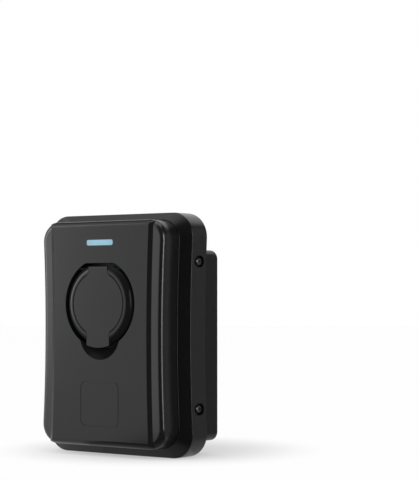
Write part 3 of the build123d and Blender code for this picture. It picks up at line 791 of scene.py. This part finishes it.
def area_lamp(name, place, width, height, power):
    """Soft rectangular lamp that faces the box."""
    data = bpy.data.lights.new(name, "AREA")
    data.shape = "RECTANGLE"
    data.size = width
    data.size_y = height
    data.energy = power
    lamp = bpy.data.objects.new(name, data)
    lamp.location = place
    lamp.rotation_euler = (LAMP_TARGET - Vector(place)).to_track_quat("-Z", "Y").to_euler()
    bpy.context.scene.collection.objects.link(lamp)


def card(name, turn_from, turn_to, inner, outer, tone):
    """Soft-edged grey card that only shine sees, swept round the box.

    Its section runs between two ends, each a distance from the middle and a height.
    """
    sheet = bmesh.new()
    start, end = (Vector((0.0, -distance, height)) for distance, height in (inner, outer))
    line = [sheet.verts.new(start.lerp(end, share)) for share in CARD_ROWS]
    for near, far in zip(line, line[1:]):
        sheet.edges.new((near, far))
    middle = (0.0, 0.0, 0.0)
    turn = Matrix.Rotation(math.radians(turn_from), 3, "Z")
    bmesh.ops.rotate(sheet, cent=middle, matrix=turn, verts=sheet.verts)
    bmesh.ops.spin(sheet, geom=sheet.verts[:] + sheet.edges[:], cent=middle, axis=(0.0, 0.0, 1.0),
                   angle=math.radians(turn_to - turn_from), steps=CARD_STEPS)
    cover = sheet.verts.layers.float.new("cover")
    for vert in sheet.verts:
        vert[cover] = 0.0 if vert.is_boundary else 1.0
    material, tree, shader = blank_material(name)
    shader.inputs["Base Color"].default_value = (tone, tone, tone, 1.0)
    shader.inputs["Roughness"].default_value = 1.0
    shader.inputs["Specular IOR Level"].default_value = 0.0
    edge = tree.nodes.new("ShaderNodeAttribute")
    edge.attribute_name = "cover"
    feed(tree, edge.outputs["Fac"], shader.inputs["Alpha"])
    screen = new_object(sheet, name, material)
    screen.visible_camera = False
    screen.visible_diffuse = False
    screen.visible_shadow = False
    screen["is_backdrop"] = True


def seen_directly(tree):
    """Share that is 1 for rays from the camera and for what gloss and glass show."""
    path = tree.nodes.new("ShaderNodeLightPath")
    both = math_node(tree, "MAXIMUM", path.outputs["Is Camera Ray"], path.outputs["Is Glossy Ray"])
    return math_node(tree, "MAXIMUM", both, path.outputs["Is Transmission Ray"])


def mixed(tree, share, first, second, target):
    """Mix two shaders by a share and join the result to an output."""
    mix = tree.nodes.new("ShaderNodeMixShader")
    feed(tree, share, mix.inputs["Fac"])
    feed(tree, first, mix.inputs[1])
    feed(tree, second, mix.inputs[2])
    feed(tree, mix.outputs["Shader"], target)


def make_world(ambient):
    """Even room light, with a plain white background."""
    world = bpy.data.worlds.new("Studio")
    world.use_nodes = True
    tree = world.node_tree
    room = tree.nodes["Background"]
    white = tree.nodes.new("ShaderNodeBackground")
    for light, strength in ((room, ambient), (white, 1.0)):
        light.inputs["Color"].default_value = (1.0, 1.0, 1.0, 1.0)
        light.inputs["Strength"].default_value = strength
    mixed(tree, seen_directly(tree), room.outputs["Background"], white.outputs["Background"],
          tree.nodes["World Output"].inputs["Surface"])
    bpy.context.scene.world = world


def floor_material(colour):
    """Pale floor that fades into the white background and keeps the object's shadow."""
    material, tree, shader = blank_material("Pale floor")
    shader.inputs["Base Color"].default_value = (*colour, 1.0)
    shader.inputs["Roughness"].default_value = FLOOR_ROUGHNESS
    shader.inputs["Specular IOR Level"].default_value = 0.0
    white = tree.nodes.new("ShaderNodeEmission")
    place = tree.nodes.new("ShaderNodeTexCoord")
    span = length_of(tree, place.outputs["Object"])
    fade = ranged(tree, span, FADE_START, FADE_END, FADE_NEAR, FADE_FAR, "SMOOTHSTEP")
    share = math_node(tree, "MULTIPLY", seen_directly(tree), fade)
    mixed(tree, share, shader.outputs["BSDF"], white.outputs["Emission"],
          tree.nodes["Material Output"].inputs["Surface"])
    return material


class CHARGINGBOX_OT_studio(BoxOperator):
    """Set up the pale floor, soft lamps, grey cards and camera"""

    bl_idname = "charging_box.studio"
    bl_label = "Studio"

    def execute(self, context):
        studio = settings().studio
        scene = context.scene
        scene.view_settings.view_transform = "Standard"
        make_world(studio.ambient)

        floor_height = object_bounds()[0][2]
        floor = bmesh.new()
        bmesh.ops.create_circle(floor, cap_ends=True, segments=FLOOR_SEGMENTS, radius=FLOOR_RADIUS)
        bmesh.ops.translate(floor, verts=floor.verts, vec=(0.0, 0.0, floor_height))
        ground = new_object(floor, "floor", floor_material(studio.floor))
        ground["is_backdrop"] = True

        for lamp in LAMPS:
            area_lamp(*lamp)
        for name, first, last, low, high, tone in UPRIGHT_CARDS:
            card(name, first, last, (CARD_DISTANCE, low), (CARD_DISTANCE, high), tone)
        level = floor_height + MM
        for name, first, last, tone in FLOOR_CARDS:
            card(name, first, last, (FLOOR_CARD_NEAR, level), (FLOOR_CARD_FAR, level), tone)

        data = bpy.data.cameras.new("Camera")
        data.sensor_fit = "VERTICAL"
        data.sensor_height = SENSOR_HEIGHT
        data.lens = studio.lens
        data.clip_start = CLIP_START
        camera = bpy.data.objects.new("Camera", data)
        camera.location = studio.camera_place
        camera.rotation_euler = (math.pi / 2 + studio.camera_tilt, 0.0, studio.camera_turn)
        scene.collection.objects.link(camera)
        scene.camera = camera
        return {"FINISHED"}


class CHARGINGBOX_PT_panel(bpy.types.Panel):
    """Charging box tools"""

    bl_idname = "CHARGINGBOX_PT_panel"
    bl_label = "Charging Box"
    bl_space_type = "VIEW_3D"
    bl_region_type = "UI"
    bl_category = "Charging Box"

    def draw(self, context):
        for operator in OPERATORS:
            self.layout.operator(operator.bl_idname)


class BoxSettings(bpy.types.PropertyGroup):
    """All settings of the charging box."""

    case: bpy.props.PointerProperty(type=CaseFinish)
    light: bpy.props.PointerProperty(type=LightFinish)
    socket: bpy.props.PointerProperty(type=SocketFinish)
    metal: bpy.props.PointerProperty(type=MetalFinish)
    electronics: bpy.props.PointerProperty(type=ElectronicsFinish)
    studio: bpy.props.PointerProperty(type=StudioSettings)


OPERATORS = (
    CHARGINGBOX_OT_case,
    CHARGINGBOX_OT_flap,
    CHARGINGBOX_OT_light,
    CHARGINGBOX_OT_socket,
    CHARGINGBOX_OT_hardware,
    CHARGINGBOX_OT_electronics,
    CHARGINGBOX_OT_studio,
)
CLASSES = (
    CaseFinish,
    LightFinish,
    SocketFinish,
    MetalFinish,
    ElectronicsFinish,
    StudioSettings,
    BoxSettings,
    *OPERATORS,
    CHARGINGBOX_PT_panel,
)


def register():
    """Add the classes and the scene's settings."""
    for item in CLASSES:
        bpy.utils.register_class(item)
    setattr(bpy.types.Scene, SETTINGS, bpy.props.PointerProperty(type=BoxSettings))


def unregister():
    """Remove the scene's settings and the classes."""
    delattr(bpy.types.Scene, SETTINGS)
    for item in reversed(CLASSES):
        bpy.utils.unregister_class(item)


def main():
    """Finish the charging box and set up its studio."""
    register()
    bpy.ops.charging_box.case()
    bpy.ops.charging_box.flap()
    bpy.ops.charging_box.light()
    bpy.ops.charging_box.socket()
    bpy.ops.charging_box.hardware()
    bpy.ops.charging_box.electronics()
    bpy.ops.charging_box.studio()


if __name__ == "__main__":
    main()
